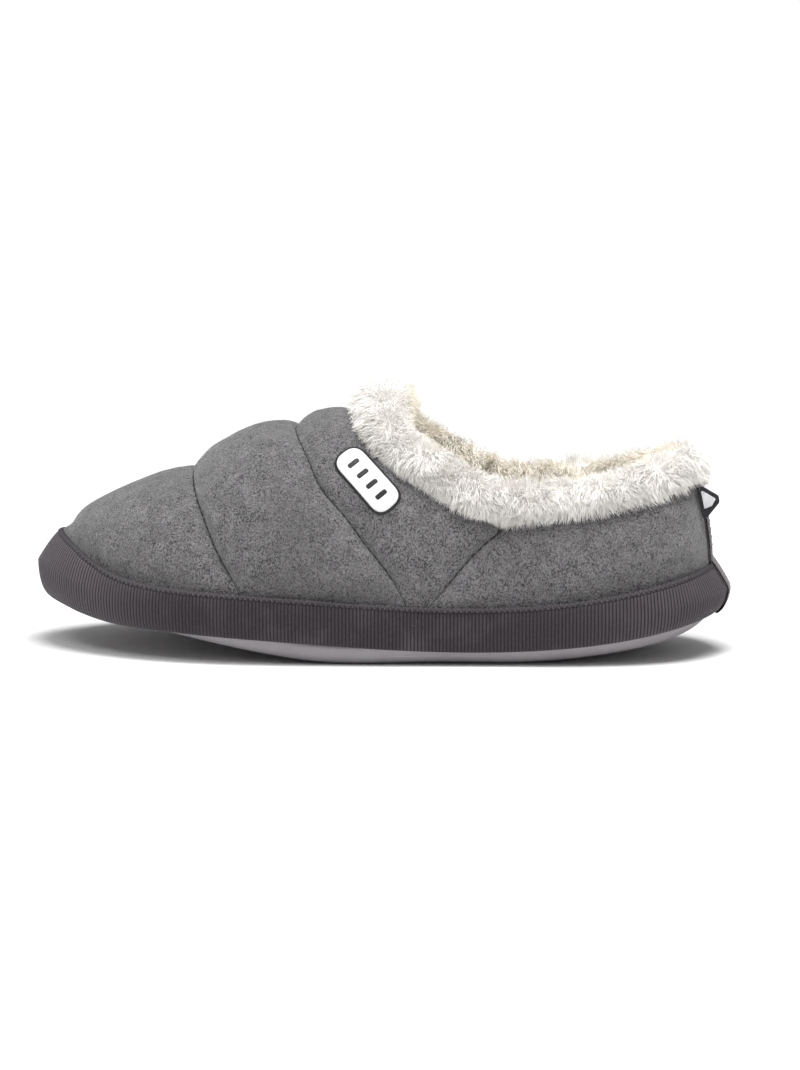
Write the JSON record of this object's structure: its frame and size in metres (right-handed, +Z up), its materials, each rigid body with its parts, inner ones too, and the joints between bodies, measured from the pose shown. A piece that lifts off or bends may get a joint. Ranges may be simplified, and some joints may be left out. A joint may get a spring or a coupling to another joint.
{
  "type": "house slipper",
  "caption": "Closed-back padded house slipper with a quilted suede upper, a deep pile collar and lining, and a soft sole bound with ribbed ribbon.",
  "frame": {"origin": "on the ground, under the middle of the slipper", "axes": "+X towards the toe, +Y towards the outer (lateral) side of a left foot, +Z up"},
  "size_m": [0.2769, 0.0993, 0.1056],
  "materials": {
    "outsole_rubber": "soft matte, fine texture",
    "midsole_foam": "closed-cell foam",
    "insole_board": "pressed fibre",
    "sole_ribbon": "ribbed grosgrain",
    "grey_suede": "short brushed nap",
    "wadding": "polyester wadding",
    "fleece_lining": "cream pile fleece",
    "pile_collar": "long white pile",
    "dark_thread": "polyester thread",
    "heel_tape": "fine woven tape",
    "tab_ribbon": "black woven ribbon",
    "woven_label": "plain woven white",
    "badge_white": "soft moulded",
    "badge_dark": "soft moulded"
  },
  "bodies": {
    "slipper": {"outsole": "outsole_rubber", "midsole_foam": "midsole_foam", "insole_board": "insole_board", "footbed_foam": "midsole_foam", "insole_fleece": "fleece_lining", "sole_band": "sole_ribbon", "sole_band_stitching": "dark_thread", "toe_panel": "grey_suede", "vamp_panel": "grey_suede", "instep_panel": "grey_suede", "quarter_panel_outer": "grey_suede", "quarter_panel_inner": "grey_suede", "toe_wadding": "wadding", "vamp_wadding": "wadding", "instep_wadding": "wadding", "quarter_wadding_outer": "wadding", "quarter_wadding_inner": "wadding", "front_lining": "fleece_lining", "heel_lining": "fleece_lining", "heel_counter": "insole_board", "fur_collar": "pile_collar", "toe_seam_stitching": "dark_thread", "vamp_seam_stitching": "dark_thread", "side_seam_stitching_outer": "dark_thread", "side_seam_stitching_inner": "dark_thread", "heel_tape": "heel_tape", "heel_tape_stitching": "dark_thread", "badge_backing": "badge_dark", "badge_face": "badge_white"},
    "pull_tab": {"pull_tab": "tab_ribbon", "pull_tab_label": "woven_label", "pull_tab_stitching": "dark_thread"}
  },
  "joints": [
    {"name": "pull_tab_swing", "type": "hinge", "parent": "slipper", "child": "pull_tab", "pos_m": [-0.1273, 0.011, 0.0605], "axis": [0.2132, 0, 0.977], "range_deg": [-60, 45], "stiffness_Nm_per_rad": 0.001}
  ]
}
